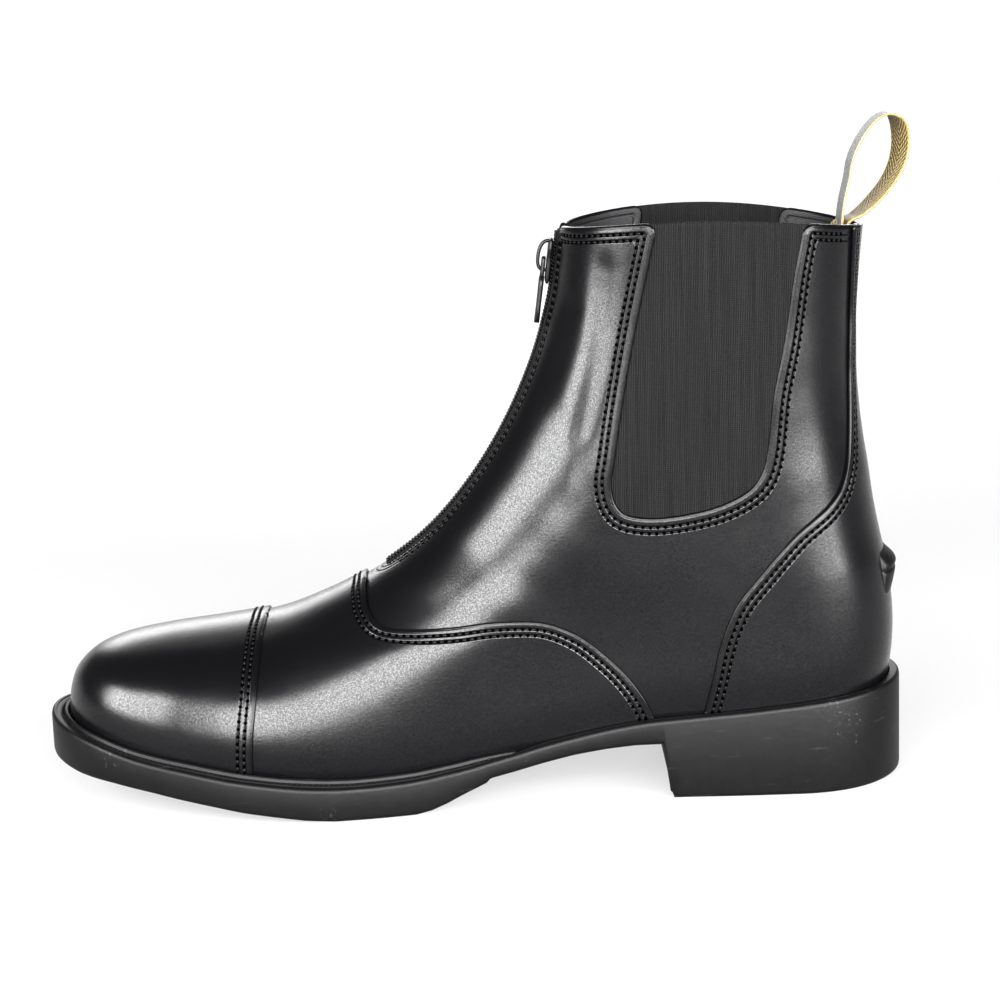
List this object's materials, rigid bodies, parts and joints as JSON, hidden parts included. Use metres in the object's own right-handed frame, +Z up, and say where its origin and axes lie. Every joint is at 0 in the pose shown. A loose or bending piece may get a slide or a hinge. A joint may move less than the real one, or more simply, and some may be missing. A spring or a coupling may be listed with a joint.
{
  "type": "paddock boot",
  "caption": "Left ankle-high riding boot with a front zip, elastic side gussets, toe cap, spur rest, pull loop and a heeled rubber sole.",
  "frame": {"origin": "on the floor, under the middle of the boot's length and width", "axes": "+Z up, -X towards the toe, +X towards the heel, -Y towards the outer (lateral) side of the left foot"},
  "size_m": [0.2892, 0.0975, 0.2172],
  "materials": {
    "leather": "semi-gloss black, fine grain",
    "sole_rubber": "matte black, lightly scuffed",
    "insole_board": "matte lining leather",
    "elastic": "ribbed black elastic",
    "zip_tape": "black woven tape with a coil",
    "zip_metal": "dark nickel",
    "ribbon": "woven grey and gold ribbon"
  },
  "bodies": {
    "boot": {"outsole": "sole_rubber", "welt": "sole_rubber", "insole": "insole_board", "upper": "leather", "toe_cap": "leather", "vamp": "leather", "counter": "leather", "gusset_outer": "elastic", "gusset_inner": "elastic", "zip_tape": "zip_tape", "zip_slider": "zip_metal", "pull_loop": "ribbon", "spur_rest": "sole_rubber"},
    "zip_pull_tab": {"zip_pull": "zip_metal"}
  },
  "joints": [
    {"name": "zip_pull_swing", "type": "hinge", "parent": "boot", "child": "zip_pull_tab", "pos_m": [0.0272, 0, 0.17401], "axis": [0, 1, 0], "range_deg": [0, 130]}
  ]
}
